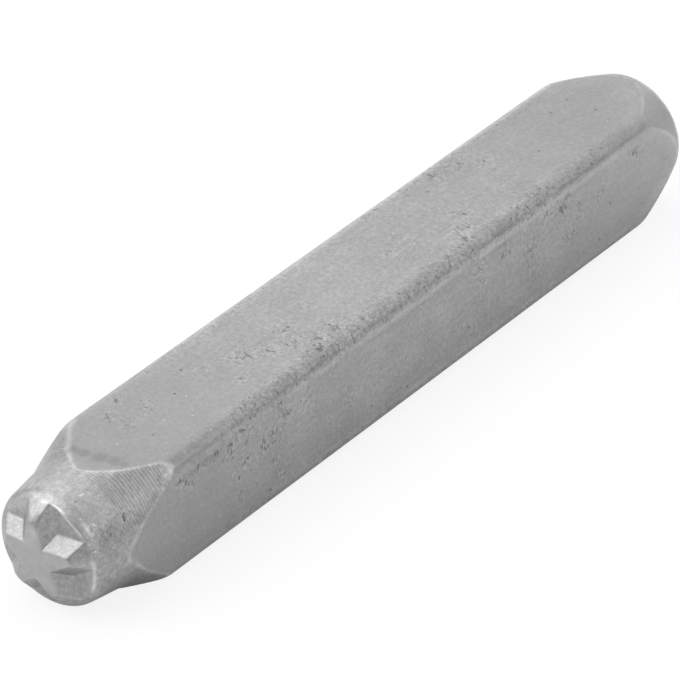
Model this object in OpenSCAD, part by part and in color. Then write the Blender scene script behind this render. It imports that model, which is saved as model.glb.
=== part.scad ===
// Star punch: a one-piece square steel bar with a turned nose that carries a raised five-pointed star,
// and a dressed end that takes the hammer. It lies on one flat, star end towards -X.

/* [Shank] */
// Width of the square shank across its flats
shank_w = 10; // [8:0.5:14]
// Rounding of the shank's four long edges
corner_r = 1.1; // [0.4:0.1:2]
// Overall length, from the star's face to the crown of the struck end
punch_len = 74.4; // [60:0.2:120]

/* [Nose] */
// Diameter of the end face, where the bevel starts
face_d = 6; // [5:0.1:7]
// Angle of the bevel behind the end face, from the punch's axis
bevel_angle = 45; // [35:1:55]
// Diameter of the turned nose at its front rim
nose_d = 9.46; // [8.5:0.02:10]
// Rounding of the nose's front rim
rim_r = 1.1; // [0.3:0.1:1.2]
// Widening of the turned nose towards the shank, half angle
nose_taper = 7.6; // [4:0.1:10]
// Distance from the end face to the corner between the nose and the shoulder
shoulder_x = 5.2; // [4.6:0.1:8]
// Slope of the shoulder that runs out to the shank's corners, half angle
shoulder_angle = 20.5; // [16:0.5:40]
// Hollow rounding between the nose and the shoulder
shoulder_r = 4; // [1:0.5:8]
// Sideways error of the nose from the shank's axis
nose_dy = 0.06; // [-0.2:0.02:0.2]
// Upward error of the nose from the shank's axis
nose_dz = -0.14; // [-0.2:0.02:0.2]

/* [Star] */
// Points of the star
star_points = 5; // [4:1:8]
// Height of the star above the ground of its notches
star_relief = 1.18; // [0.6:0.02:1.4]
// Radius of the inner corners between the star's arms
valley_r = 1.46; // [1:0.02:1.8]
// Radius at which an arm's two flanks would meet
tip_r = 3.85; // [3.7:0.05:5]
// Draft of the flanks, from the punch's axis
flank_draft = 41.5; // [20:0.5:50]
// Sideways error of the star from the punch's axis
star_dy = 0.34; // [-0.5:0.02:0.5]
// Upward error of the star from the punch's axis
star_dz = -0.38; // [-0.5:0.02:0.5]

/* [Struck end] */
// Slope of the dressed end, half angle
head_angle = 20.5; // [10:0.5:30]
// Distance from the struck face at which the dressed end is as wide as the shank
head_x = 1.05; // [0.4:0.05:4]
// Rounding between the dressed slope and the struck face
head_edge_r = 1; // [0.4:0.1:1.5]
// Height of the slight crown on the struck face
crown_h = 0.25; // [0.1:0.05:0.6]

/* [Hidden] */
$fn = 96;
steel = [0.66, 0.66, 0.67];
// Room by which cutters and blanks run past the solid
margin = shank_w / 5;
// Radius that clears the shank's corners
clear_r = shank_w * sqrt(2) / 2 + margin;
// Corner where the bevel meets the turned nose, as radius and distance from the end face
rim = [nose_d / 2, (nose_d - face_d) / 2 / tan(bevel_angle)];
// Length that the rim's rounding takes off the bevel and the nose
rim_cut = rim_r * tan((bevel_angle - nose_taper) / 2);
// Directions along the bevel, the nose and the shoulder, and straight out of the nose
bevel_run = [sin(bevel_angle), cos(bevel_angle)];
nose_run = [sin(nose_taper), cos(nose_taper)];
shoulder_run = [sin(shoulder_angle), cos(shoulder_angle)];
nose_out = [cos(nose_taper), -sin(nose_taper)];
// Corner where the turned nose meets the shoulder
shoulder = [rim.x + (shoulder_x - rim.y) * tan(nose_taper), shoulder_x];
// Length that the shoulder's hollow rounding takes up on each side of its corner
shoulder_cut = shoulder_r * tan((shoulder_angle - nose_taper) / 2);
// Centre of the hollow rounding
hollow = shoulder - shoulder_cut * nose_run + shoulder_r * nose_out;
// Distance from the end face at which the shoulder has cleared the shank's corners
runout_x = shoulder.y + (clear_r - shoulder.x) / tan(shoulder_angle);
// Corner where the dressed slope meets the struck face
head = [shank_w / 2 - head_x * tan(head_angle), punch_len - crown_h];
// Length that the head's rounding takes off the slope and the face
head_cut = head_edge_r * tan((90 - head_angle) / 2);
// Distance from the end face at which the dressed slope leaves the shank's corners
slope_x = head.y - (clear_r - head.x) / tan(head_angle);
// Radius of the struck face inside its rounding, and of the ball that crowns it
crown_edge = head.x - head_cut;
crown_r = (pow(crown_edge, 2) + pow(crown_h, 2)) / (2 * crown_h);
// Half the angle between neighbouring arms, and half the angle between the flanks of an inner corner
half_step = 180 / star_points;
flank_lean = atan2(valley_r * sin(half_step), tip_r - valley_r * cos(half_step));
valley_half = half_step + flank_lean;

// Outline of the square bar with rounded edges
module bar_outline() {
    inner = shank_w - 2 * corner_r;
    square([shank_w, inner], center = true);
    square([inner, shank_w], center = true);
    for (y = [-1, 1], z = [-1, 1])
        translate([y, z] * inner / 2)
            circle(r = corner_r);
}

// The bar as drawn stock, standing on its star end
module bar() {
    linear_extrude(height = punch_len)
        bar_outline();
}

// Half profile of the turned nose and shoulder, run on behind the shoulder to the struck end
module nose_profile() {
    difference() {
        union() {
            polygon([
                [0, 0],
                [face_d / 2, 0],
                rim - rim_cut * bevel_run,
                rim + rim_cut * nose_run,
                shoulder - shoulder_cut * nose_run,
                shoulder + shoulder_cut * shoulder_run,
                [clear_r, runout_x],
                [clear_r, punch_len + margin],
                [0, punch_len + margin]
            ]);
            translate(rim + rim_cut * nose_run - rim_r * nose_out)
                circle(r = rim_r);
        }
        translate(hollow)
            circle(r = shoulder_r);
    }
}

// Half profile of the dressed struck end, run on in front of its slope to the star end
module head_profile() {
    slope_run = [sin(head_angle), -cos(head_angle)];
    polygon([
        [0, -margin],
        [clear_r, -margin],
        [clear_r, slope_x],
        head + head_cut * slope_run,
        head - [head_cut, 0],
        [0, head.y]
    ]);
    translate(head - [head_cut, head_edge_r])
        circle(r = head_edge_r);
    intersection() {
        translate([0, punch_len - crown_r])
            circle(r = crown_r);
        translate([0, head.y - crown_h])
            square([crown_edge, 2 * crown_h]);
    }
}

// Space that the turned nose leaves of the bar, standing on its star end
module turned_nose() {
    translate([nose_dz, nose_dy, 0])
        rotate_extrude()
            nose_profile();
}

// Space that the dressed struck end leaves of the bar
module turned_head() {
    rotate_extrude()
        head_profile();
}

// Space on the outer side of one flank of an inner corner
module flank_side(side) {
    size = 4 * shank_w;
    translate([valley_r, 0, 0])
        rotate([0, 0, side * (90 - valley_half)])
            rotate([0, flank_draft, 0])
                translate([0, -size / 2, -size / 2])
                    cube(size);
}

// One notch between two arms: two drafted flanks and a flat ground
module notch() {
    size = 2 * shank_w;
    intersection() {
        flank_side(1);
        flank_side(-1);
        translate([0, -size / 2, -margin])
            cube([size, size, star_relief + margin]);
    }
}

// All notches, cut into the end face so that the star is left proud
module star_notches() {
    translate([star_dz, star_dy, 0])
        for (i = [0 : star_points - 1])
            rotate([0, 0, (i + 0.5) * 360 / star_points])
                notch();
}

// The whole punch, lying on one flat with its middle over the origin
module punch() {
    color(steel)
        translate([-punch_len / 2, 0, shank_w / 2])
            rotate([0, 90, 0])
                mirror([1, 0, 0])
                    difference() {
                        intersection() {
                            bar();
                            turned_nose();
                            turned_head();
                        }
                        star_notches();
                    }
}

punch();
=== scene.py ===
"""Star punch: a square steel bar with a turned nose, a raised star and a dressed struck end."""
import math

import bmesh
import bpy
import numpy as np
from bpy.props import FloatProperty, FloatVectorProperty, IntProperty, PointerProperty
from mathutils import Matrix, Vector


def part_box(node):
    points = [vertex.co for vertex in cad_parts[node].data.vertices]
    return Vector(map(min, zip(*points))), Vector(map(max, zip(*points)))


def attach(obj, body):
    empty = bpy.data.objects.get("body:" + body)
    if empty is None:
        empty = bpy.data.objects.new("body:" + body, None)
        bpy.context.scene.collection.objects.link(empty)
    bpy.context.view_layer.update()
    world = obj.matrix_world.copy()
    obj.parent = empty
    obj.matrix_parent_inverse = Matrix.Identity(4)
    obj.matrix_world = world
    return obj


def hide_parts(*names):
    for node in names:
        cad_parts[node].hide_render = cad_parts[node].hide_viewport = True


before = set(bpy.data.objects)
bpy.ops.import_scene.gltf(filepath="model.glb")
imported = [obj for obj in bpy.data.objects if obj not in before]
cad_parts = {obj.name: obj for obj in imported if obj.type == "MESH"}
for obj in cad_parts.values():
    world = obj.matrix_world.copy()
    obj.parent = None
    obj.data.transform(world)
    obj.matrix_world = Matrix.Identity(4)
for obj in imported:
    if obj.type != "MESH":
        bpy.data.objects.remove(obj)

bl_info = {
    "name": "Star Punch",
    "version": (1, 0, 0),
    "blender": (4, 5, 0),
    "location": "View3D > Sidebar > Star Punch",
    "description": "Builds a steel star punch and the plain studio that it lies in",
    "category": "Object",
}

# One millimetre in the scene's metres
MM = 0.001
FULL_TURN = 2 * math.pi
QUARTER = math.pi / 2
NODE = "punch"
BODY = "root"
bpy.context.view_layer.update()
LOW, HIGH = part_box(NODE)
LENGTH = HIGH.x - LOW.x
HALF_WIDTH = (HIGH.y - LOW.y) / 2
AXIS_Z = (HIGH.z + LOW.z) / 2
# Radius that clears the bar's corners
CLEAR = HALF_WIDTH * math.sqrt(2)
# Values that the mesh keeps for its finish
# The stain mark also holds painted shade, and the wear mark also holds painted highlights and painted
# light
MARKS = ("wear_and_sheen", "mottle", "pits", "stain_and_shade", "burrs")

# Soft lights: name, azimuth and elevation in degrees, and power in watts
SOFT_LIGHTS = (
    ("low_right", 0, 10, 0.6),
    ("low_back_right", 30, 10, 0.5),
    ("low_back", 60, 10, 0.9),
    ("back_left", 120, 30, 1.2),
    ("left", 150, 30, 0.5),
    ("front_left", 240, 30, 1.0),
    ("front_right", 300, 30, 0.8),
    ("high_right", 0, 55, 0.5),
    ("high_back", 60, 55, 1.1),
    ("high_left", 150, 55, 1.4),
    ("high_front", 300, 55, 0.4),
    ("top", 0, 85, 0.5),
)
LIGHT_SIZE = 0.4
LIGHT_DISTANCE = 0.6
SENSOR_WIDTH = 36
CLIP_START = 0.01
CLIP_END = 20
FLOOR_RADIUS = 3
FLOOR_SIDES = 96

# Steps of the mesh: round the axis, on the front rim and the head's edge, and in each groove
SECTORS = 200
RIM_STEPS = 10
HEAD_STEPS = 14
STEPS_PER_GROOVE = 5
# Distance between rings on the nose, the bar and the dressed slope
NOSE_STEP = 0.2 * MM
BAR_STEP = 0.3 * MM
SLOPE_STEP = 0.13 * MM
# Rings of the end face: where the star's edge, its flanks' feet, the outer bevel and the rim fall
EDGE, FOOT, OUTER, RIM = 0.3, 0.55, 0.8, 1
CAP_STATIONS = np.concatenate([
    [0, 0.06, 0.13, 0.19, 0.23, 0.26, 0.28, 0.29],
    np.linspace(EDGE, FOOT, 11)[:-1],
    OUTER - (OUTER - FOOT) * np.linspace(1, 0, 15)[:-1]**2,
    np.linspace(OUTER, RIM, 10),
])
# Rings of the struck face's crown, as shares of its radius
CROWN_RINGS = (0.93, 0.85, 0.7, 0.5, 0.3, 0.12, 0)
# Distance within which two places are one
TOUCHING = 0.001 * MM
# Share of the rim's radius that is surely outside the end face
OUTSIDE = 1.5

# Errors of the upper arm: its left flank swells and turns outwards, its right is hollow and steeper
LEFT_SWELL = 0.1 * MM
LEFT_TURN = math.radians(7)
RIGHT_HOLLOW = 0.22 * MM
RIGHT_STEEPER = 0.42
# Where along a flank from its valley these errors lie, and between which places it gets steeper
FLANK_MIDDLE = 0.6 * MM
FLANK_REACH = 0.8 * MM
STEEPER_RUN = (0.3 * MM, 1.8 * MM)
# Turn of the upper flank of the next arm to the right, which was cut askew
ASKEW = math.radians(5)
# Softer edges round the upper arm: degrees round the nose, spread, and worn edges added there
SOFT_TOP = (106, 12, 1.5)
SOFT_FOOT = (102, 12, 3.5)
SOFT_SIDE = (98, 8, 4)
SOFT_TIP = (90, 14, 4)
# Depths, as shares of the star's relief, over which the soft side and the soft tip end
SIDE_END = (0.5, 0.95)
TIP_END = (0, 0.3)
# Plain rounding of the flanks' feet, in worn edges
FOOT_WEAR = 0.5
# Lip on the ground of the upper right notch and dent in the bevel: degrees, spread, size, then radii
LIP = (121, 13, 0.07 * MM)
LIP_RUN = (3.5 * MM, 4.1 * MM)
DENT = (153, 8, 0.1 * MM)
DENT_RUN = (4.1 * MM, 4.45 * MM)
# Worn ridges on the bevel: degrees round the nose, depth below the face and half width in mm, strength
RIDGES = (
    (
        (80, 1.22, 0.08, 0), (88, 1.21, 0.08, 0.9), (97, 1.22, 0.08, 1.5), (103, 1.23, 0.1, 2.8),
        (108, 1.2, 0.13, 3.6), (115, 1.15, 0.13, 3.6), (121, 1.12, 0.1, 2.5), (129, 1.11, 0.08, 0),
    ),
    (
        (163, 1.2, 0.1, 0), (172, 1.22, 0.12, 1.4), (190, 1.28, 0.12, 1.5), (205, 1.34, 0.12, 1.1),
        (216, 1.38, 0.1, 0),
    ),
)
# Height of a ridge of strength one, and the half widths over which it runs out
RIDGE_HEIGHT = 0.015 * MM
RIDGE_RUN = 1.2
# Wear of the star's face, its edges, and the notches' outer edges
FACE_WEAR = 0.15
TOP_EDGE_WEAR = 0.35
RIM_EDGE_WEAR = 0.3
# Polished ground and painted shade on the flanks of the upper left notch: degrees round the nose,
# spread, strength
POLISHED = (58, 22, 0.3)
POLISHED_DEPTH = (0.5, 1)
SHADED_FLANKS = (36, 18, 0.35)
SHADED_FLANK_DEPTH = (0, 0.15, 0.9, 1)
# Painted highlight near the upper arm's tip: strength, then place and reach sideways and upwards
TIP_HIGHLIGHT = 0.45
TIP_SIDE = (0.46 * MM, 0.4 * MM)
TIP_RISE = (2.3 * MM, 0.5 * MM)
# Mottling of the star's face, which is full below it
FACE_MOTTLE = 0.3

# Length of the nose over which the turning grooves fade in, in front of its hollow
GROOVE_LEAD = 1.3 * MM
# Share of the grooves that is left all round, and more by degrees round the axis, spread and share
GROOVE_LEFT = 0.12
GROOVED = ((129, 44, 0.9), (315, 40, 0.6), (225, 30, 0.1))
# Wander of the grooves along the axis, as size and grooves to a wave, and round it, as size and waves
FEED_WANDER = (0.9, 7)
ROUND_WANDER = (0.3, 9)
# Dashes that break the grooves: mean, swing, and waves round the axis with their shift at each groove
DASH_MEAN = 0.7
DASH_SWING = 0.3
DASH_WAVES = ((38, 1.9), (11, -0.8))
# Painted shade in the grooves and painted highlight on the crests between them
GROOVE_PAINTED_SHADE = 0.8
CREST_PAINTED_HIGHLIGHT = 0.5

# Worn edges of the flats, at the nose and at the struck end: width in worn edges, and strength
EDGE_WIDTH = (0.75, 1.5)
EDGE_WEAR = (0.8, 0.75)
# Where the front edges are worn broad: added width, lost strength, and the places across a flat in mm
BROAD_WIDTH = 1.6
BROAD_FADE = 0.25
BRANCH_RUN = (0, 3)
MIDDLE_REACH = 1.6
# Chipped corners of the shoulder: place and reach along the axis, reach in radians, width and strength
CHIP_PLACE = (9.1 * MM, 0.6 * MM)
CHIP_SPREAD = 0.12
CHIP_WIDTH = 0.5
CHIP_WEAR = 0.6
# Step over which the nose's slope is taken, and the least slope
CLIMB_STEP = 0.05 * MM
LEAST_CLIMB = 0.12
# Faint wear of the rear flats beside their edge: strength and width
REAR_WEAR = 0.3
REAR_WIDTH = 1.8 * MM
# Wear and painted highlight on the struck face's rounding, and how far it runs out before, behind,
# inside and outside it
STRUCK_WEAR_AND_HIGHLIGHT = 1.2
STRUCK_FRONT = 0.35 * MM
STRUCK_BACK = 0.3 * MM
STRUCK_INSIDE = 0.2 * MM
STRUCK_OUTSIDE = 0.1 * MM
# Half width of the change from flat to turned skin
SKIN_CHANGE = 0.02 * MM
# Mottling of the flats, what the rougher middle adds, and of the turned nose and head
FLAT_MOTTLE = 0.55
ROUGH_MOTTLE = 0.3
ROUGH_RUN = (14, 26, 52, 62)
TURNED_MOTTLE = (1.0, 0.35)
# Painted shade on the level flats and the upright ones near the nose, and where it fades
LEVEL_PAINTED_SHADE = 0.6
UPRIGHT_PAINTED_SHADE = 0.3
FLAT_SHADE_RUN = (4, 36)
# Darker patch on the nose's left and painted shade on its underside: degrees round the axis, spread,
# strength, then mm along
LEFT_DARKER = (58, 14, 0.5)
LEFT_DARKER_RUN = (2.5, 4.5, 7, 8.5)
UNDER_PAINTED_SHADE = (238, 32, 1.5)
UNDER_SHADE_RUN = (1.8, 4)

# Pits on the upper and the front flat, in mm: distance from the star's face, place across, radius
TOP_PITS = (
    (25.2, -1.45, 0.35), (27.2, -2.28, 0.3), (28.7, -3.28, 0.5), (30.5, -3.45, 0.5), (27.7, -3.95, 0.6),
    (21, -2.1, 0.25), (13.1, 3.4, 0.2), (11.25, 2.4, 0.2), (14, 1.05, 0.2), (11.7, 0.9, 0.2),
    (20.2, 0.8, 0.2), (22.6, 0.13, 0.25), (23.7, -0.45, 0.25), (28, -0.6, 0.3), (31.8, 0.2, 0.15),
    (46.3, -2.95, 0.25), (47.25, -2.95, 0.35), (46.4, -3.87, 0.45), (49, -1.6, 0.25),
    (48.5, -0.87, 0.25), (56, 1.7, 0.3), (52, 3.55, 0.35), (53.8, 3.4, 0.2), (54.5, 2.9, 0.2),
    (43.25, -0.1, 0.2), (41, -0.45, 0.2),
)
FRONT_PITS = (
    (10, 3.17, 0.3), (12.3, 3.25, 0.4), (14.25, 3.25, 0.3), (10.8, 2.6, 0.3), (15.8, 2.9, 0.5),
    (17.7, 2.4, 0.3), (17.1, 3.6, 0.3), (18, 3.25, 0.3), (21.8, 3.6, 0.4), (22.5, 2.4, 0.4),
    (24.75, 2.2, 0.25), (17.7, 0.75, 0.35), (19.8, 1, 0.4), (21, 1.4, 0.35), (19.4, 1.8, 0.2),
    (16.75, -0.25, 0.2), (21.3, -1.1, 0.2), (17, -2.1, 0.2), (21.8, -2.7, 0.2), (30.4, -0.6, 0.2),
    (55.2, 3.1, 0.35), (57.3, 2.6, 0.45), (57.9, 3.25, 0.3), (59.75, 1.5, 0.25), (53.25, 0.75, 0.35),
    (46.5, 2.6, 0.25), (49.7, 2.25, 0.25), (57.9, -0.4, 0.25), (58.75, -0.5, 0.25), (54, -1.25, 0.2),
    (66.8, 3, 0.3), (62.5, 1.4, 0.25), (45.3, -1.9, 0.2), (47, 1.1, 0.2),
)
# Rough skin on the right of the nose: distance from the star's face, degrees round the axis, radius
NOSE_PITS = ((3.0, 150, 0.2), (4.7, 148, 0.2), (5.4, 155, 0.12))
# A pit's strength: at no radius, for each mm of radius, and at most; then its reach in radii
PIT_LEAST = 0.25
PIT_GROWTH = 2
PIT_MOST = 0.82
PIT_REACH = (0.4, 1.7)
# Rough skin round a pit: strength, reach in radii, and mm added to it
ROUGH_SKIN = 0.41
ROUGH_REACH = 3
ROUGH_MARGIN = 0.8
# Stretches of the long edges that are pitted: start, full and end in mm from the star's face, strength
ROUGH_EDGES = ((9, 19, 38, 0.38), (35, 40, 50, 0.38), (47, 52, 60, 0.42), (8, 36, 68, 0.3))
ROUGH_EDGE_FADE = 4
# Where the pitted edges start, in mm in from the flats, and the width over which they come in
EDGE_BAND = 2.0
EDGE_BAND_FADE = 1.2
# Bright burrs on the bevel and the nose: distance from the star's face, degrees round the axis, radius
BURRS = (
    (1.35, 122, 0.4), (1.45, 129, 0.45), (1.45, 135, 0.45), (1.4, 144, 0.45), (1.35, 151, 0.4),
    (1.5, 158, 0.3), (2.0, 140, 0.4), (2.8, 94, 0.3), (1.55, 70, 0.15), (3.2, 110, 0.3),
)
# Share of burrs on the rough skin
BURRED_SKIN = 0.5
# Rubbed places on the rim, partly real wear and partly painted light in place of a rounder rim, and on
# the shoulder's right corner, as the burrs are, with their strength
RUBBED_AND_PAINTED_LIGHT = (
    (1.36, 115, 0.26, 0.6), (1.3, 121, 0.36, 1.1), (1.3, 126, 0.42, 1.8), (1.32, 131, 0.44, 1.9),
    (1.36, 136, 0.42, 1.6), (1.4, 141, 0.34, 1.3), (1.38, 147, 0.3, 1.1), (1.4, 153, 0.3, 0.9),
    (8.75, 133, 0.2, 0.7), (8.7, 137, 0.2, 1), (8.5, 141, 0.22, 1.2), (8.1, 143.5, 0.22, 1),
    (7.8, 144, 0.2, 0.7),
)
# Their reach in radii, and the mm behind the star's face over which they come in
RUBBED_AND_LIT_REACH = (0.4, 1.5)
RUBBED_AND_LIT_START = (0.98, 1.22)
# Painted shade on the upper flat where it rolls down to the nose, and a streak of painted shade on the
# front flat, just behind the nose, as the pits are
TOP_PAINTED_SHADE = ((6.5, 1.9, 0.5), (6.6, 1.0, 0.6), (6.9, -0.2, 0.7), (7.1, -1.3, 0.6), (7.2, -2.2, 0.4))
FRONT_PAINTED_SHADE = (
    (9.9, 3.0, 0.2), (10.5, 3.06, 0.24), (11.1, 3.1, 0.24), (11.7, 3.14, 0.22), (12.3, 3.18, 0.22),
    (12.9, 3.22, 0.24), (13.5, 3.26, 0.26), (14.1, 3.28, 0.28),
)
TOP_SHADE_STRENGTH = 1.1
FRONT_SHADE_STRENGTH = 0.8
# Reach of the painted shade and the burrs in radii
SHADE_AND_BURR_REACH = (0.3, 2)

# Layers of the steel's tone: name, stretch along the bar, spots in each mm, share
TONE_LAYERS = (
    ("Clouds", 1, 0.35, 0.32),
    ("Streaks", 0.12, 1.6, 0.2),
    ("Mottles", 1, 2.6, 0.6),
    ("Grain", 1, 6.0, 0.6),
)
# What the pitted skin adds to the tone's strength
PITTED_TONE = 1.1
# Lines along the rolled edges, painted shade in a crease and a painted highlight on the ridge below it:
# angle from the flat and half width in radians, and strength
CREASE = (1.12, 0.24)
CREASE_PAINTED_SHADE = 0.22
EDGE_RIDGE = (1.7, 0.36)
EDGE_RIDGE_PAINTED_HIGHLIGHT = 0.16
# Where these lines show, as ramps: low, high, value at low and at high
LINES_UNPITTED = (0.3, 0.45, 1.0, 0.15)
LINES_START = (15, 32, 0.2, 1.0)
LINES_END = (69, 66)
LINES_BROKEN = (0.38, 0.6, 0.35, 1.1)
# Lap of the rolled skin: height above the axis and half width in mm, strength, ends, and its sway in mm
LAP = (3.5, 0.09)
LAP_DARK = 0.25
LAP_START = (30, 34)
LAP_END = (52, 49)
LAP_SWAY = 0.5
SWAY_STRETCH = 0.25
# Noises, as spots in each mm and detail
BROKEN_NOISE = (0.5, 3)
LUMP_NOISE = (3.2, 4)
FLECK_NOISE = (4.2, 3)
CHIP_NOISE = (1.1, 3)
SWAY_NOISE = (1.0, 2)
# Pits in the rough skin: stretch of their lumps, edge on plain skin and its fall on marked skin, depth
LUMP_STRETCH = (1.5, 0.7, 0.7)
PIT_EDGE = 0.71
PIT_EDGE_FALL = -0.33
PIT_SLOPE = 0.11
PIT_DARK = 0.6
# Strewn pits and bright specks: cells in each mm and radius in mm
STREWN_PITS = (0.5, 0.17)
STREWN_SPECKS = (0.7, 0.11)
SPOT_CORE = 0.4
SPECK_SHIFT = (3, 7, 5)
SPECK_BRIGHT = 0.4
# Flecks of the burrs and chips of the worn edges, as ramps
FLECKS = (0.55, 0.65, 0.0, 2.0)
FLECK_SHIFT = (8, 2, 1)
CHIPS = (0.35, 0.65, 0.22, 0.55)
# Strength of the mesh's stains and painted shade, and how much smoother bright steel is
STAIN_AND_SHADE_DARK = 0.4
BRIGHT_GLOSS = -0.12
# Places of the share, the two colours and the result on a colour mix node
MIX_INPUTS = (0, 6, 7)
MIX_RESULT = 2


def length_property(name, description, millimetres):
    """A length that the sidebar shows in the scene's units."""
    return FloatProperty(
        name=name, description=description, default=millimetres * MM, unit="LENGTH", precision=5
    )


def angle_property(name, description, degrees):
    """An angle that the sidebar shows in degrees."""
    return FloatProperty(
        name=name, description=description, default=math.radians(degrees), subtype="ANGLE"
    )


def share_property(name, description, default):
    """A plain share from nothing to one."""
    return FloatProperty(
        name=name, description=description, default=default, min=0, max=1, subtype="FACTOR"
    )


def colour_property(name, description, grey):
    """A neutral colour, given as one linear grey."""
    return FloatVectorProperty(
        name=name, description=description, default=(grey, grey, grey), subtype="COLOR"
    )


class PunchShape(bpy.types.PropertyGroup):
    """Sizes of the punch's turned, ground and cut surfaces"""

    corner_radius: length_property("Corner radius", "Rounding of the shank's long edges", 1.1)
    face_diameter: length_property("Face diameter", "End face, where the bevel starts", 6.0)
    bevel_angle: angle_property("Bevel angle", "Bevel behind the end face, from the axis", 45)
    nose_diameter: length_property("Nose diameter", "Turned nose at its front rim", 9.46)
    rim_radius: length_property("Rim radius", "Rounding of the nose's front rim", 1.1)
    nose_taper: angle_property("Nose taper", "Widening of the nose towards the shank", 7.6)
    shoulder_start: length_property("Shoulder start", "End face to the shoulder's corner", 5.2)
    shoulder_angle: angle_property("Shoulder angle", "Slope of the shoulder, from the axis", 20.5)
    shoulder_radius: length_property("Shoulder radius", "Hollow rounding of the shoulder's corner", 4.0)
    nose_side: length_property("Nose sideways", "Sideways error of the nose from the axis", 0.06)
    nose_rise: length_property("Nose upwards", "Upward error of the nose from the axis", -0.14)
    star_relief: length_property("Star relief", "Height of the star above its notches", 1.18)
    star_points: IntProperty(
        name="Star points", description="Arms of the star", default=5, min=4, max=8
    )
    valley_radius: length_property("Valley radius", "Inner corners between the arms", 1.46)
    tip_radius: length_property("Tip radius", "Where an arm's flanks would meet", 3.85)
    flank_draft: angle_property("Flank draft", "Slope of the flanks, from the axis", 41.5)
    star_side: length_property("Star sideways", "Sideways error of the star from the axis", 0.34)
    star_rise: length_property("Star upwards", "Upward error of the star from the axis", -0.38)
    head_angle: angle_property("Head angle", "Slope of the dressed end", 20.5)
    head_start: length_property("Head start", "Struck face to where the slope meets the flats", 1.05)
    head_edge: length_property("Head edge", "Rounding of the struck face's edge", 1.0)
    crown_height: length_property("Crown height", "Crown on the struck face", 0.25)
    worn_edge: length_property("Worn edge", "Softening of the edges between cuts", 0.16)
    groove_pitch: length_property("Groove pitch", "Feed of the turning tool on the shoulder", 0.238)
    groove_depth: length_property("Groove depth", "Depth of the turning grooves", 0.052)


class SteelFinish(bpy.types.PropertyGroup):
    """Colours and surface of the tumbled steel"""

    steel: colour_property("Steel", "Plain tumbled surface", 0.359)
    # Bright steel also gives the painted highlights and painted light; dark steel also gives the
    # painted shade
    bright: colour_property("Bright steel", "Worn edges and nicks", 0.72)
    dark: colour_property("Dark steel", "Pits, stains and creases", 0.10)
    roughness: share_property("Roughness", "Dullness of the plain surface", 0.5)
    grain: length_property("Grain", "Depth of the tumbled grain", 0.02)
    pit_depth: length_property("Pit depth", "Depth of the small pits", 0.045)


class StudioStage(bpy.types.PropertyGroup):
    """Camera, floor and room light"""

    azimuth: angle_property("Azimuth", "Camera's place round the punch", -53.23)
    elevation: angle_property("Elevation", "Camera's height above the floor", 33.38)
    roll: angle_property("Roll", "Camera's tilt to the side", 0.39)
    distance: length_property("Distance", "Camera to the aim point", 437.5)
    lens: FloatProperty(
        name="Lens", description="Focal length on a 36 mm sensor", default=309.08, unit="CAMERA"
    )
    aim: FloatVectorProperty(
        name="Aim",
        description="Aim point: along the punch, then to the right and up in the picture",
        default=(-1.212 * MM, -0.232 * MM, -0.284 * MM),
        unit="LENGTH",
        precision=5,
    )
    sky: FloatProperty(
        name="Room light", description="Level of the room's own light", default=0.0, min=0
    )
    floor: colour_property("Floor", "Plain pale floor", 0.9)
    lift: share_property("Floor lift", "Plain white in the floor, which lightens its shadow", 0.85)
    mirrored_lift: share_property("Mirrored lift", "The same share in the floor's reflections", 0.08)


def soft_max(a, b, reach):
    """Larger of two heights, blended over a reach so that their edge is worn."""
    blend = np.maximum(reach - np.abs(a - b), 0)
    return np.maximum(a, b) + blend**2 / (4 * reach)


def soft_min(a, b, reach):
    """Smaller of two heights, blended over a reach so that their edge is worn."""
    return -soft_max(-a, -b, reach)


def smooth_step(low, high, value):
    """Smooth ramp from nothing at low to one at high."""
    t = np.clip((value - low) / (high - low), 0, 1)
    return t * t * (3 - 2 * t)


def fade_out(low, high, value):
    """Smooth ramp from one at low to nothing at high."""
    return 1 - smooth_step(low, high, value)


def stretch(start, full, fade, end, value):
    """One between full and fade, and nothing before the start and past the end."""
    return smooth_step(start, full, value) * fade_out(fade, end, value)


def bell(value, middle, reach):
    """Soft bump, one at a middle and falling off over a reach."""
    return np.exp(-((value - middle) / reach)**2)


def near_angle(angle, degrees, spread, size):
    """Soft bump of a size at an angle round the axis, falling off over a spread in degrees."""
    away = (np.degrees(angle) - degrees + 180) % 360 - 180
    return size * bell(away, 0, spread)


def root_between(function, low, high, steps=40):
    """Place between low and high where a rising function crosses nothing, for arrays."""
    for _ in range(steps):
        middle = (low + high) / 2
        above = function(middle) > 0
        low = np.where(above, low, middle)
        high = np.where(above, middle, high)
    return (low + high) / 2


def off_flat(angle):
    """Angle round the axis from the middle of the nearest flat."""
    return (angle + QUARTER / 2) % QUARTER - QUARTER / 2


def is_level(angle):
    """Whether a direction round the axis meets the upper or the lower flat."""
    return np.abs(np.sin(angle)) > math.sqrt(0.5)


def bar_radius(angle, corner):
    """Distance from the axis to the rounded square bar in a direction round the axis."""
    off = np.abs(off_flat(angle))
    inner = HALF_WIDTH - corner
    along = inner * (np.cos(off) + np.sin(off))
    round_part = along + np.sqrt(np.maximum(along**2 - 2 * inner**2 + corner**2, 0))
    flat_part = HALF_WIDTH / np.cos(off)
    return np.where(HALF_WIDTH * np.tan(off) <= inner, flat_part, round_part)


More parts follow.
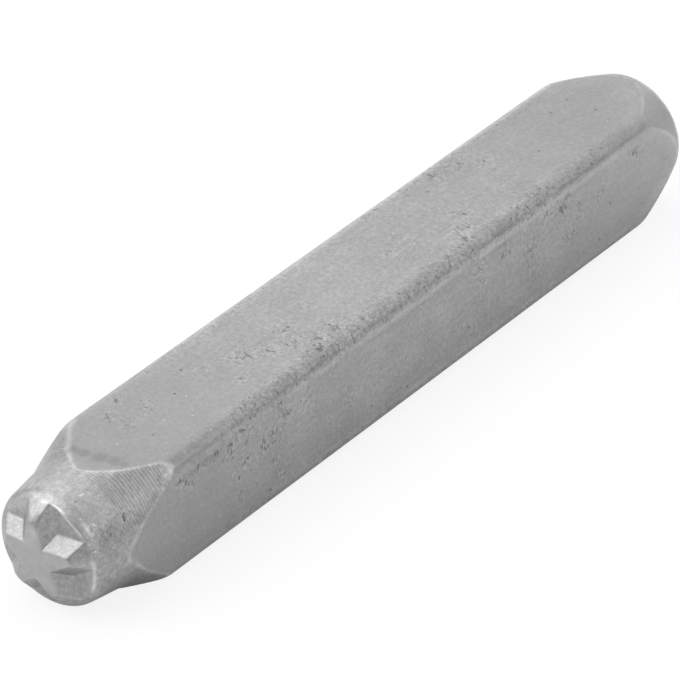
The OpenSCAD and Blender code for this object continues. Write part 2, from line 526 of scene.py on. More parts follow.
class Turning:
    """Half profile of the turned surfaces: radius against distance from the star's face."""

    def __init__(self, shape):
        self.face = shape.face_diameter / 2
        self.bevel = shape.bevel_angle
        self.taper = shape.nose_taper
        self.rim_r = shape.nose_diameter / 2
        self.rim_x = (self.rim_r - self.face) / math.tan(self.bevel)
        self.rim_round = shape.rim_radius
        cut = self.rim_round * math.tan((self.bevel - self.taper) / 2)
        self.bevel_end = self.rim_r - cut * math.sin(self.bevel)
        self.nose_x = self.rim_x + cut * math.cos(self.taper)
        self.nose_r = self.rim_r + cut * math.sin(self.taper)
        self.shoulder = shape.shoulder_angle
        self.shoulder_x = shape.shoulder_start
        self.shoulder_r = self.rim_r + (self.shoulder_x - self.rim_x) * math.tan(self.taper)
        self.hollow = shape.shoulder_radius
        cut = self.hollow * math.tan((self.shoulder - self.taper) / 2)
        hollow_start_r = self.shoulder_r - cut * math.sin(self.taper)
        self.hollow_start = self.shoulder_x - cut * math.cos(self.taper)
        self.hollow_end = self.shoulder_x + cut * math.cos(self.shoulder)
        self.hollow_x = self.hollow_start - self.hollow * math.sin(self.taper)
        self.hollow_r = hollow_start_r + self.hollow * math.cos(self.taper)
        self.grooved_x = self.hollow_start - GROOVE_LEAD
        self.nose_centre = np.array([shape.nose_side, shape.nose_rise])
        self.corner_x = self.shoulder_x + (CLEAR - self.shoulder_r) / math.tan(self.shoulder)
        self.head = shape.head_angle
        self.head_x = LENGTH - shape.crown_height
        self.head_r = HALF_WIDTH - shape.head_start * math.tan(self.head)
        self.slope_x = self.head_x - (CLEAR - self.head_r) / math.tan(self.head)
        self.head_round = shape.head_edge
        self.crown_edge = self.head_r - self.head_round * math.tan((QUARTER - self.head) / 2)
        rise = shape.crown_height
        self.crown = (self.crown_edge**2 + rise**2) / (2 * rise)

    def bevel_depth(self, radius):
        """Depth of the bevel below the star's face at a radius."""
        return (radius - self.face) / math.tan(self.bevel)

    def radius(self, x):
        """Radius of the bevel and the nose."""
        return np.minimum(self.face + x * math.tan(self.bevel), self.nose(x))

    def rim_arc(self, count):
        """Points of the front rim's rounding, from the bevel to the nose."""
        centre_x = self.nose_x + self.rim_round * math.sin(self.taper)
        centre_r = self.nose_r - self.rim_round * math.cos(self.taper)
        turn = np.linspace(self.bevel, self.taper, count)
        return centre_x - self.rim_round * np.sin(turn), centre_r + self.rim_round * np.cos(turn)

    def nose(self, x):
        """Radius of the turned nose and of the shoulder behind it."""
        straight = self.rim_r + (x - self.rim_x) * math.tan(self.taper)
        shoulder = self.shoulder_r + (x - self.shoulder_x) * math.tan(self.shoulder)
        run = np.clip(x, self.hollow_start, self.hollow_end) - self.hollow_x
        hollow = self.hollow_r - np.sqrt(self.hollow**2 - run**2)
        return np.select([x < self.hollow_start, x < self.hollow_end], [straight, hollow], shoulder)

    def slope(self, x):
        """Radius of the dressed end's slope."""
        return self.head_r + (self.head_x - x) * math.tan(self.head)

    def head_arc(self, count):
        """Points of the struck end's rounding, from the slope to the face."""
        turn = np.linspace(self.head, QUARTER, count)
        x = self.head_x - self.head_round + self.head_round * np.sin(turn)
        return x, self.crown_edge + self.head_round * np.cos(turn)

    def crown_x(self, radius):
        """Distance from the star's face to the crown at a radius."""
        return LENGTH - self.crown + np.sqrt(self.crown**2 - radius**2)


class StarFace:
    """Depth of the star's notches and of the bevel below the star's face, round the nose's axis."""

    def __init__(self, shape, turning):
        self.turning = turning
        self.step = FULL_TURN / shape.star_points
        self.tip = shape.tip_radius
        self.valley = shape.valley_radius
        half = self.step / 2
        self.lean = math.atan2(self.valley * math.sin(half), self.tip - self.valley * math.cos(half))
        self.draft = math.tan(shape.flank_draft)
        self.relief = shape.star_relief
        self.centre = np.array([shape.star_side, shape.star_rise]) - turning.nose_centre
        self.worn = shape.worn_edge

    def off_arm(self, angle):
        """Angle from the nearest arm, with one arm straight up."""
        return np.abs((angle - QUARTER + self.step / 2) % self.step - self.step / 2)

    def flank(self, from_arm, radius):
        """Distance outside an arm's flank, and along it from the valley, at an angle from the arm."""
        turn = from_arm + self.lean
        outside = radius * np.sin(turn) - self.tip * math.sin(self.lean)
        along = radius * np.cos(turn) - self.valley * math.cos(self.step / 2 + self.lean)
        return outside, along

    def right_notch(self, past_upper, radius):
        """Distance outside the flanks of the notch to the right of the upper arm."""
        right, along = self.flank(past_upper, radius)
        right = right + RIGHT_HOLLOW * bell(along, FLANK_MIDDLE, FLANK_REACH)
        right = right / (1 - RIGHT_STEEPER * smooth_step(*STEEPER_RUN, along))
        askew, along = self.flank(self.step - past_upper, radius)
        return np.minimum(askew - along * math.sin(ASKEW), right)

    def left_notch(self, before_upper, radius):
        """Distance outside the flanks of the notch to the left of the upper arm."""
        left, along = self.flank(before_upper, radius)
        left = left - LEFT_SWELL * bell(along, FLANK_MIDDLE, FLANK_REACH)
        left = left - np.maximum(along, 0) * math.sin(LEFT_TURN)
        plain, _ = self.flank(self.step - before_upper, radius)
        return np.minimum(left, plain)

    def flank_depth(self, angle, radius):
        """Depth of the flanks on a ray from the star's centre, negative inside the star."""
        past_upper = (angle - QUARTER) % FULL_TURN
        before_upper = FULL_TURN - past_upper
        outside, _ = self.flank(self.off_arm(angle), radius)
        outside = np.where(past_upper < self.step, self.right_notch(past_upper, radius), outside)
        outside = np.where(before_upper < self.step, self.left_notch(before_upper, radius), outside)
        return outside / self.draft

    def flank_at(self, y, z):
        """Depth of the flanks at a place across the nose's axis."""
        y = y - self.centre[0]
        z = z - self.centre[1]
        return self.flank_depth(np.arctan2(z, y), np.hypot(y, z))

    def bevel(self, y, z):
        """Depth of the bevel at a place across the nose's axis."""
        return self.turning.bevel_depth(np.hypot(y, z))

    def edges(self, angle):
        """Radii on each ray of the star's edge, of the foot of its flank and of the outer bevel."""
        far = np.full_like(angle, self.turning.rim_r * OUTSIDE)
        none = np.zeros_like(angle)

        def bevel(radius):
            y = self.centre[0] + radius * np.cos(angle)
            z = self.centre[1] + radius * np.sin(angle)
            return self.bevel(y, z)

        def ground(radius):
            return np.clip(self.flank_depth(angle, radius), 0, self.relief)

        edge = root_between(lambda r: np.maximum(bevel(r), self.flank_depth(angle, r)), none, far)
        outer = root_between(lambda r: bevel(r) - ground(r), edge, far)
        foot = root_between(lambda r: self.flank_depth(angle, r) - self.relief, edge, far)
        return edge, np.minimum(foot, outer), outer

    def depth(self, y, z):
        """Depth of the worn surface below the star's face."""
        turn = np.arctan2(z, y)
        radius = np.hypot(y, z)
        flank = soft_max(self.flank_at(y, z), 0.0, self.worn * (1 + near_angle(turn, *SOFT_TOP)))
        lip = near_angle(turn, *LIP) * smooth_step(*LIP_RUN, radius)
        foot = self.worn * (FOOT_WEAR + near_angle(turn, *SOFT_FOOT))
        ground = soft_min(flank, self.relief - lip, foot)
        side = near_angle(turn, *SOFT_SIDE) * fade_out(*SIDE_END, flank / self.relief)
        tip = near_angle(turn, *SOFT_TIP) * fade_out(*TIP_END, flank / self.relief)
        dent = near_angle(turn, *DENT) * fade_out(*DENT_RUN, radius)
        cut = soft_max(ground, self.bevel(y, z) + dent, self.worn * (1 + side + tip))
        return cut - RIDGE_HEIGHT * self.ridge(y, z)

    def ridge(self, y, z):
        """Strength of the worn ridges on the bevel."""
        turn = np.degrees(np.arctan2(z, y)) % 360
        depth = self.bevel(y, z) / MM
        strength = np.zeros_like(depth)
        for line in RIDGES:
            degrees, middle, width, share = np.transpose(line)
            away = np.abs(depth - np.interp(turn, degrees, middle)) / np.interp(turn, degrees, width)
            crest = np.interp(turn, degrees, share) * np.clip(RIDGE_RUN - away, 0, 1)
            strength = np.maximum(strength, crest)
        return strength

    def wear_and_sheen(self, y, z):
        """How worn a place is, from its nearness to an edge that stands proud, with a painted highlight
        near the upper arm's tip.
        """
        flank = self.flank_at(y, z)
        bevel = self.bevel(y, z)
        drop = np.maximum(flank, bevel)
        step = bevel - np.clip(flank, 0, self.relief)
        polished = near_angle(np.arctan2(z, y), *POLISHED)
        edges = np.max([
            TOP_EDGE_WEAR * np.clip(1 - np.abs(drop) / self.worn, 0, 1),
            RIM_EDGE_WEAR * np.clip(1 - np.abs(step) / self.worn, 0, 1),
            polished * smooth_step(*POLISHED_DEPTH, flank / self.relief),
            # Painted highlight near the upper arm's tip
            TIP_HIGHLIGHT * bell(y, *TIP_SIDE) * bell(z, *TIP_RISE),
        ], axis=0)
        return np.maximum(FACE_WEAR * (drop < 0) + edges, self.ridge(y, z))

    def shade(self, y, z):
        """Painted shade on the flanks of the notch to the left of the upper arm."""
        dull = near_angle(np.arctan2(z, y), *SHADED_FLANKS)
        return dull * stretch(*SHADED_FLANK_DEPTH, self.flank_at(y, z) / self.relief)


def across(verts, centre=(0, 0)):
    """Distance from the star's face, radius and angle round an axis of each vertex."""
    places = np.array([vert.co for vert in verts])
    y = places[:, 1] - centre[0]
    z = places[:, 2] - AXIS_Z - centre[1]
    return places[:, 0] - LOW.x, np.hypot(y, z), np.arctan2(z, y)


def put(verts, x, y, z, centre=(0, 0)):
    """Moves vertices to a distance from the star's face and a place across an axis."""
    for vert, place in zip(verts, zip(LOW.x + x, y + centre[0], AXIS_Z + z + centre[1])):
        vert.co = place


def mark(bm, name, verts, values):
    """Keeps a value for the finish on each vertex, the larger one where it has a value."""
    layer = bm.verts.layers.float[name]
    for vert, value in zip(verts, values):
        vert[layer] = max(vert[layer], value)


def spacing(low, high, step):
    """Even steps after low, up to and with high."""
    return np.linspace(low, high, max(2, round((high - low) / step) + 1))[1:]


def blank_profile(turning, shape):
    """Half profile of the turned blank, as distance from the star's face and radius."""
    face = turning.bevel_end * CAP_STATIONS
    rim_x, rim_r = turning.rim_arc(RIM_STEPS)
    head_x, head_r = turning.head_arc(HEAD_STEPS)
    run = np.concatenate([
        spacing(rim_x[-1], turning.grooved_x, NOSE_STEP),
        spacing(turning.grooved_x, turning.corner_x, shape.groove_pitch / STEPS_PER_GROOVE),
        spacing(turning.corner_x, turning.slope_x, BAR_STEP),
        spacing(turning.slope_x, head_x[0], SLOPE_STEP)[:-1],
    ])
    run_r = np.minimum(turning.nose(run), turning.slope(run))
    crown_r = turning.crown_edge * np.array(CROWN_RINGS)
    x = np.concatenate([np.zeros_like(face), rim_x[1:], run, head_x, turning.crown_x(crown_r)])
    radius = np.concatenate([face, rim_r[1:], run_r, head_r, crown_r])
    return x, radius


def groove(x, angle, turning, shape):
    """Share of the turning grooves that is left, which fades towards the nose, and their wave."""
    fade = smooth_step(turning.grooved_x, turning.shoulder_x, x) * (x < turning.corner_x)
    turns = FULL_TURN * x / shape.groove_pitch
    feed, grooves = FEED_WANDER
    sway, waves = ROUND_WANDER
    turns = turns + feed * np.sin(turns / grooves) + sway * np.sin(waves * angle)
    row = np.floor(turns / FULL_TURN + 0.5)
    dashes = np.prod([np.sin(count * angle + shift * row) for count, shift in DASH_WAVES], axis=0)
    left = GROOVE_LEFT + sum(near_angle(angle, *side) for side in GROOVED)
    return fade * left * (DASH_MEAN + DASH_SWING * dashes), 0.5 + 0.5 * np.cos(turns)


def turn_blank(bm, turning, shape):
    """Spins the half profile into a closed turned blank."""
    x, radius = blank_profile(turning, shape)
    verts = [bm.verts.new((LOW.x + a, 0, AXIS_Z + r)) for a, r in zip(x, radius)]
    edges = [bm.edges.new(pair) for pair in zip(verts, verts[1:])]
    bmesh.ops.spin(
        bm,
        geom=verts + edges,
        cent=(0, 0, AXIS_Z),
        axis=(1, 0, 0),
        angle=FULL_TURN,
        steps=SECTORS,
        use_merge=True,
    )
    bmesh.ops.remove_doubles(bm, verts=bm.verts, dist=TOUCHING)
    nose = [vert for vert in bm.verts if vert.co.x < LOW.x + turning.corner_x]
    bmesh.ops.translate(bm, verts=nose, vec=(0, *turning.nose_centre))


def broad_wear(angle):
    """Where the flats' front edges are worn broad: a branch of the level ones, the others' middle."""
    across_flat = HALF_WIDTH * np.tan(off_flat(angle)) / MM
    branch = smooth_step(*BRANCH_RUN, -across_flat)
    return np.where(is_level(angle), branch, bell(across_flat, 0, MIDDLE_REACH))


def edge_wear(x, radius, angle, bar, turning, worn_edge):
    """Wear along the edges where the flats meet the turned nose and the dressed end."""
    front = x < LENGTH / 2
    off = np.abs(off_flat(angle))
    rise = np.abs(turning.nose(x + CLIMB_STEP) - turning.nose(x)) / CLIMB_STEP
    climb = np.hypot(np.where(front, rise, math.tan(turning.head)), np.tan(off))
    away = np.abs(bar - radius) / np.maximum(climb, LEAST_CLIMB)
    broad = np.where(front, broad_wear(angle), 0)
    chipped = bell(x, *CHIP_PLACE) * bell(off, QUARTER / 2, CHIP_SPREAD)
    width = np.where(front, *EDGE_WIDTH) + BROAD_WIDTH * broad + CHIP_WIDTH * chipped
    strength = np.where(front, *EDGE_WEAR) - BROAD_FADE * broad + CHIP_WEAR * chipped
    line = strength * np.clip(1 - away / (worn_edge * width), 0, 1)
    beside = REAR_WEAR * np.clip(1 - away / REAR_WIDTH, 0, 1) * (bar < radius)
    return np.maximum(line, np.where(front, 0, beside))


def struck_wear_and_highlight(x, radius, turning):
    """Wear and painted highlight on the rounding of the struck face."""
    slope_end = turning.head_arc(HEAD_STEPS)[0][0]
    behind = smooth_step(slope_end - STRUCK_FRONT, turning.head_x - STRUCK_BACK, x)
    inner = turning.crown_edge - STRUCK_INSIDE
    return STRUCK_WEAR_AND_HIGHLIGHT * behind * smooth_step(inner, turning.crown_edge + STRUCK_OUTSIDE, radius)


def skin_shade_and_darkening(x, angle, turned):
    """Painted shade on the flats near the nose and on the nose's underside, and a darker patch on the
    nose's left.
    """
    along = x / MM
    # Painted shade on the flats near the nose, darker on the level ones
    dull = np.where(is_level(angle), LEVEL_PAINTED_SHADE, UPRIGHT_PAINTED_SHADE) * (1 - turned)
    left = turned * near_angle(angle, *LEFT_DARKER) * stretch(*LEFT_DARKER_RUN, along)
    # Painted shade on the nose's underside
    under_shade = turned * near_angle(angle, *UNDER_PAINTED_SHADE) * smooth_step(*UNDER_SHADE_RUN, along)
    return np.max([dull * fade_out(*FLAT_SHADE_RUN, along), left, under_shade * (x < LENGTH / 2)], axis=0)


def grind_flats(bm, turning, shape):
    """Presses the blank down to the square bar, with worn edges where the flats meet the turning."""
    verts = [vert for vert in bm.verts if vert.co.x > LOW.x + turning.rim_x / 2]
    x, radius, angle = across(verts)
    bar = bar_radius(angle, shape.corner_radius)
    grooved, wave = groove(x, angle, turning, shape)
    ground = soft_min(bar, radius - shape.groove_depth * grooved * wave, shape.worn_edge)
    put(verts, x, ground * np.cos(angle), ground * np.sin(angle))
    turned = smooth_step(-SKIN_CHANGE, SKIN_CHANGE, bar - radius)
    plain = FLAT_MOTTLE + ROUGH_MOTTLE * stretch(*ROUGH_RUN, x / MM)
    turned_mottle = np.where(x < LENGTH / 2, *TURNED_MOTTLE)
    mark(bm, "mottle", verts, plain + turned * (turned_mottle - plain))
    mark(bm, "wear_and_sheen", verts, edge_wear(x, radius, angle, bar, turning, shape.worn_edge))
    # Wear and painted highlight on the struck face's rounding
    mark(bm, "wear_and_sheen", verts, struck_wear_and_highlight(x, radius, turning))
    # Painted highlight on the grooves' crests
    mark(bm, "wear_and_sheen", verts, CREST_PAINTED_HIGHLIGHT * turned * grooved * (1 - wave))
    mark(bm, "stain_and_shade", verts, skin_shade_and_darkening(x, angle, turned))
    # Painted shade in the grooves
    mark(bm, "stain_and_shade", verts, GROOVE_PAINTED_SHADE * turned * grooved * wave)


def cut_star(bm, star, turning):
    """Draws the rings of the end face out to the star's edges and sinks its notches and bevel."""
    verts = [vert for vert in bm.verts if vert.co.x < LOW.x + TOUCHING]
    _, radius, angle = across(verts, turning.nose_centre)
    edge, foot, outer = star.edges(angle)
    foot = np.maximum(foot, edge + star.worn)
    outer = np.maximum(outer, foot + star.worn)
    station = radius / turning.bevel_end
    rays = zip(station, 0 * edge, edge, foot, outer)
    on_ray = [np.interp(place, (0, EDGE, FOOT, OUTER), knots) for place, *knots in rays]
    y = star.centre[0] + on_ray * np.cos(angle)
    z = star.centre[1] + on_ray * np.sin(angle)
    ring = np.hypot(y, z)
    turn = np.arctan2(z, y)
    twist = (angle - turn + math.pi) % FULL_TURN - math.pi
    past = np.clip((station - OUTER) / (RIM - OUTER), 0, 1)
    ring = ring + (turning.bevel_end - ring) * past
    turn = turn + twist * smooth_step(OUTER, RIM, station)
    y = ring * np.cos(turn)
    z = ring * np.sin(turn)
    depth = star.depth(y, z)
    put(verts, depth, y, z, turning.nose_centre)
    mark(bm, "wear_and_sheen", verts, star.wear_and_sheen(y, z))
    # Painted shade on the upper left notch's flanks
    mark(bm, "stain_and_shade", verts, star.shade(y, z))
    mark(bm, "mottle", verts, FACE_MOTTLE + (1 - FACE_MOTTLE) * smooth_step(0, star.worn, depth))


def pitted_edges(places):
    """How pitted the bar's long edges are, by their distance from the star's face."""
    inner = HALF_WIDTH / MM - EDGE_BAND
    near = np.minimum(np.abs(places[:, 1]), np.abs(places[:, 2]))
    along = [
        share * stretch(start, full, end - ROUGH_EDGE_FADE, end, places[:, 0])
        for start, full, end, share in ROUGH_EDGES
    ]
    return smooth_step(inner, inner + EDGE_BAND_FADE, near) * np.max(along, axis=0)


def on_nose(turning, x, degrees):
    """A place on the bevel or the nose in mm, from its distance and direction."""
    reach = turning.radius(x * MM) / MM
    turn = math.radians(degrees)
    y, z = turning.nose_centre / MM + reach * np.array([math.cos(turn), math.sin(turn)])
    return x, y, z


def pit_centres(turning):
    """Middles and radii of the pits in mm, turned end for end on the flats out of sight."""
    length = LENGTH / MM
    half = HALF_WIDTH / MM
    centres = [(on_nose(turning, x, degrees), radius) for x, degrees, radius in NOSE_PITS]
    for x, y, radius in TOP_PITS:
        centres += [((x, y, half), radius), ((length - x, y, -half), radius)]
    for x, z, radius in FRONT_PITS:
        centres += [((x, -half, z), radius), ((length - x, half, z), radius)]
    return centres


def spot(places, middle, core, reach):
    """Soft round spot, one in its core and nothing past its reach."""
    return fade_out(core, reach, np.linalg.norm(places - np.array(middle), axis=1))


def smudges(places, marks, core, reach):
    """Strongest of some soft spots, each given by its middle, radius and strength."""
    return np.max([
        share * spot(places, middle, radius * core, radius * reach) for middle, radius, share in marks
    ], axis=0)


def pit_steel(bm, depth, turning):
    """Dents the pits of the skin, and marks them with the painted shade, burrs, and the rubbed places
    with their wear and painted light.
    """
    verts = list(bm.verts)
    places = (np.array([vert.co for vert in verts]) - np.array([LOW.x, 0, AXIS_Z])) / MM
    half = HALF_WIDTH / MM
    core, reach = PIT_REACH
    pitted = np.zeros(len(verts))
    rough = pitted_edges(places)
    for middle, radius in pit_centres(turning):
        strength = min(PIT_MOST, PIT_LEAST + PIT_GROWTH * radius)
        dented = strength * spot(places, middle, radius * core, radius * reach)
        pitted = np.maximum(pitted, dented)
        around = spot(places, middle, radius, radius * ROUGH_REACH + ROUGH_MARGIN)
        rough = np.maximum(rough, ROUGH_SKIN * around)
    for vert, share in zip(verts, pitted):
        vert.co -= vert.normal * depth * share
    mark(bm, "pits", verts, np.maximum(pitted, rough))
    # Painted shade on the upper and front flats behind the nose
    shade_spots = [((x, y, half), radius, TOP_SHADE_STRENGTH) for x, y, radius in TOP_PAINTED_SHADE]
    shade_spots += [((x, -half, z), radius, FRONT_SHADE_STRENGTH) for x, z, radius in FRONT_PAINTED_SHADE]
    mark(bm, "stain_and_shade", verts, smudges(places, shade_spots, *SHADE_AND_BURR_REACH))
    burrs = [(on_nose(turning, x, degrees), radius, 1) for x, degrees, radius in BURRS]
    mark(bm, "burrs", verts, BURRED_SKIN * rough)
    mark(bm, "burrs", verts, smudges(places, burrs, *SHADE_AND_BURR_REACH))
    # Wear and painted light on the rubbed rim
    rubbed_and_lit = [(on_nose(turning, x, degrees), radius, share) for x, degrees, radius, share in RUBBED_AND_PAINTED_LIGHT]
    behind = smooth_step(*RUBBED_AND_LIT_START, places[:, 0])
    mark(bm, "wear_and_sheen", verts, behind * smudges(places, rubbed_and_lit, *RUBBED_AND_LIT_REACH))


class NodeTree:
    """Short calls for a material's nodes."""

    def __init__(self, tree):
        self.tree = tree

    def add(self, kind, label, **values):
        """A node with its settings, and its sockets set to values or joined to other nodes' outputs."""
        node = self.tree.nodes.new(kind)
        node.label = label
        for key, value in values.items():
            if key in node.bl_rna.properties:
                setattr(node, key, value)
            else:
                self.fill(node.inputs[key.replace("_", " ")], value)
        return node

    def fill(self, socket, value):
        """Sets a socket to a value, or joins it to an output."""
        if isinstance(value, bpy.types.NodeSocket):
            self.tree.links.new(value, socket)
        else:
            socket.default_value = value

    def fill_all(self, sockets, values):
        """Fills sockets in their order."""
        for socket, value in zip(sockets, values):
            self.fill(socket, value)

    def math(self, operation, label, *values):
        """A sum of numbers or outputs."""
        node = self.add("ShaderNodeMath", label, operation=operation)
        self.fill_all(node.inputs, values)
        return node.outputs[0]

    def product(self, label, first, *others):
        """All values multiplied."""
        for value in others:
            first = self.math("MULTIPLY", label, first, value)
        return first

    def mark(self, name):
        """A value that the mesh keeps on its vertices."""
        return self.add("ShaderNodeAttribute", name, attribute_name=name).outputs["Fac"]

    def places(self, label, scale=(1, 1, 1), shift=(0, 0, 0)):
        """Object coordinates in millimetres, scaled and shifted."""
        coordinates = self.add("ShaderNodeTexCoord", "Place")
        mapping = self.add("ShaderNodeMapping", label, Vector=coordinates.outputs["Object"])
        mapping.inputs["Scale"].default_value = Vector(scale) / MM
        mapping.inputs["Location"].default_value = shift
        return mapping.outputs["Vector"]

    def parts(self, label, shift):
        """The three shifted object coordinates in millimetres, by name."""
        return self.add("ShaderNodeSeparateXYZ", label, Vector=self.places(label, shift=shift)).outputs

    def noise(self, label, places, scale, detail=2.0):
        """Soft noise from nothing to one, with a number of spots in each millimetre."""
        node = self.add("ShaderNodeTexNoise", label, Vector=places, Scale=scale, Detail=detail)
        return node.outputs[0]

    def spots(self, label, places, scale, radius):
        """Round spots strewn over the surface, one in their middles."""
        cells = self.add("ShaderNodeTexVoronoi", label, Vector=places, Scale=scale)
        edge = radius * scale
        return self.ramp(label, cells.outputs["Distance"], edge, edge * SPOT_CORE)

    def ramp(self, label, value, low, high, start=0.0, end=1.0):
        """Smooth ramp of a value."""
        node = self.add("ShaderNodeMapRange", label, interpolation_type="SMOOTHSTEP")
        self.fill_all(node.inputs, (value, low, high, start, end))
        return node.outputs[0]

    def stripe(self, label, value, middle, width):
        """A soft stripe where a value is near a middle."""
        off = self.math("ABSOLUTE", label, self.math("SUBTRACT", label, value, middle))
        return self.ramp(label, off, width, 0.0)

    def blend(self, label, share, first, second):
        """Mix of two colours by a share."""
        node = self.add("ShaderNodeMix", label, data_type="RGBA", clamp_factor=True)
        self.fill_all([node.inputs[place] for place in MIX_INPUTS], (share, first, second))
        return node.outputs[MIX_RESULT]


def new_material(name):
    """An empty material and its nodes."""
    material = bpy.data.materials.new(name)
    material.use_nodes = True
    material.node_tree.nodes.clear()
    return material, NodeTree(material.node_tree)


def steel_tone(nodes):
    """Brightness of the plain skin round one: clouds, streaks along the bar, mottles and fine grain."""
    total = 0.0
    for label, along, scale, share in TONE_LAYERS:
        layer = nodes.noise(label, nodes.places(label, (along, 1, 1)), scale)
        centred = nodes.math("SUBTRACT", "Centre", layer, 0.5)
        total = nodes.math("MULTIPLY_ADD", "Add layer", centred, share, total)
    mottle = nodes.mark("mottle")
    strength = nodes.math("MULTIPLY_ADD", "Strength", nodes.mark("pits"), PITTED_TONE, mottle)
    return nodes.math("MULTIPLY_ADD", "Tone", total, strength, 1.0)


def corner_turn(nodes, corner):
    """Angle round the bar's rounded edges, from nothing at a level flat to a quarter turn."""
    parts = nodes.parts("From the axis", (0, 0, -AXIS_Z / MM))
    inner = (HALF_WIDTH - corner) / MM
    side = nodes.math("SUBTRACT", "Past the flat", nodes.math("ABSOLUTE", "Across", parts["Y"]), inner)
    rise = nodes.math("SUBTRACT", "Above the side", nodes.math("ABSOLUTE", "Up", parts["Z"]), inner)
    return nodes.math("ARCTAN2", "Corner turn", side, rise)


def edge_skin(nodes, places):
    """How plainly the rolled edges' lines show: less on pitted skin and towards the bar's ends."""
    along = nodes.parts("From the star", (-LOW.x / MM, 0, 0))["X"]
    broken = nodes.noise("Broken skin", places, *BROKEN_NOISE)
    return nodes.product(
        "Edge skin",
        nodes.ramp("Unpitted skin", nodes.mark("pits"), *LINES_UNPITTED),
        nodes.ramp("Start", along, *LINES_START),
        nodes.ramp("End", along, *LINES_END),
        nodes.ramp("Broken skin", broken, *LINES_BROKEN),
    )


def lap_line(nodes):
    """A thin lap of the rolled skin, along the upper part of the front flat."""
    parts = nodes.parts("From the star", (-LOW.x / MM, 0, -AXIS_Z / MM))
    sway = nodes.noise("Sway", nodes.places("Long sway", (SWAY_STRETCH, 1, 1)), *SWAY_NOISE)
    rise = nodes.math("MULTIPLY_ADD", "Swayed height", sway, LAP_SWAY, parts["Z"])
    return nodes.product(
        "Lap",
        nodes.stripe("Lap", rise, *LAP),
        nodes.math("LESS_THAN", "Front flat", parts["Y"], 0.0),
        nodes.ramp("Lap start", parts["X"], *LAP_START),
        nodes.ramp("Lap end", parts["X"], *LAP_END),
    )


def pit_mask(nodes, places):
    """Pits of the bar's skin: strewn small ones, and rough patches where the mesh is marked."""
    lumps = nodes.noise("Lumps", nodes.places("Across the bar", LUMP_STRETCH), *LUMP_NOISE)
    edge = nodes.math("MULTIPLY_ADD", "Pit edge", nodes.mark("pits"), PIT_EDGE_FALL, PIT_EDGE)
    floor = nodes.math("ADD", "Pit floor", edge, PIT_SLOPE)
    rough = nodes.ramp("Rough patches", lumps, edge, floor)
    return nodes.math("MAXIMUM", "Pits", rough, nodes.spots("Strewn pits", places, *STREWN_PITS))


def bright_steel(nodes, places, ridge):
    """Where the steel is bright: worn edges, specks, burrs, painted highlights and painted light, and
    the painted highlight on the ridge along the rolled edges.
    """
    strewn = nodes.spots("Bright specks", nodes.places("Specks", shift=SPECK_SHIFT), *STREWN_SPECKS)
    flecks = nodes.noise("Flecks", nodes.places("Burrs", shift=FLECK_SHIFT), *FLECK_NOISE)
    burrs = nodes.product("Burrs", nodes.ramp("Burrs", flecks, *FLECKS), nodes.mark("burrs"))
    specks = nodes.product("Specks", nodes.math("MAXIMUM", "Specks", strewn, burrs), SPECK_BRIGHT)
    chips = nodes.ramp("Chips", nodes.noise("Chips", places, *CHIP_NOISE), *CHIPS)
    worn = nodes.product("Broken wear and sheen", nodes.mark("wear_and_sheen"), chips)
    return nodes.math("MAXIMUM", "Bright", nodes.math("MAXIMUM", "Bright", worn, specks), ridge)


def tumbled_steel(finish, corner):
    """Dull tumbled steel with grain, pits, stains and bright worn edges, with painted shade in creases,
    grooves and under the nose, and painted highlights on ridges, crests and rims.
    """
    material, nodes = new_material("tumbled_steel")
    places = nodes.places("Millimetres")
    tone = steel_tone(nodes)
    pits = pit_mask(nodes, places)
    turn = corner_turn(nodes, corner)
    skin = edge_skin(nodes, places)
    # Painted shade in the crease and painted highlight on the ridge along the rolled edges
    crease_shade = nodes.product("Crease", nodes.stripe("Crease", turn, *CREASE), CREASE_PAINTED_SHADE, skin)
    ridge = nodes.product("Ridge", nodes.stripe("Ridge", turn, *EDGE_RIDGE), EDGE_RIDGE_PAINTED_HIGHLIGHT, skin)
    bright = bright_steel(nodes, places, ridge)
    # Stains and painted shade darken the steel
    stain_and_shade = nodes.math("MULTIPLY_ADD", "Stain and painted shade", nodes.mark("stain_and_shade"), STAIN_AND_SHADE_DARK, crease_shade)
    stain_and_shade = nodes.math("MULTIPLY_ADD", "Lap", lap_line(nodes), LAP_DARK, stain_and_shade)
    plain = nodes.add("ShaderNodeVectorMath", "Toned steel", operation="SCALE", Scale=tone)
    plain.inputs[0].default_value = finish.steel
    dark_pits = nodes.product("Dark pits", pits, PIT_DARK)
    colour = nodes.blend("Stained and shaded steel", stain_and_shade, plain.outputs[0], (*finish.dark, 1))
    colour = nodes.blend("Pitted steel", dark_pits, colour, (*finish.dark, 1))
    colour = nodes.blend("Worn and lit steel", bright, colour, (*finish.bright, 1))
    raised = nodes.product("Skin height", tone, finish.grain / MM)
    height = nodes.math("MULTIPLY_ADD", "Height", pits, -finish.pit_depth / MM, raised)
    bump = nodes.add("ShaderNodeBump", "Relief", Height=height, Distance=MM)
    dull = nodes.math("MULTIPLY_ADD", "Roughness", bright, BRIGHT_GLOSS, finish.roughness)
    shader = nodes.add(
        "ShaderNodeBsdfPrincipled",
        "Steel",
        Base_Color=colour,
        Metallic=1.0,
        Roughness=dull,
        Normal=bump.outputs[0],
    )
    nodes.add("ShaderNodeOutputMaterial", "Surface", Surface=shader.outputs[0])
    return material


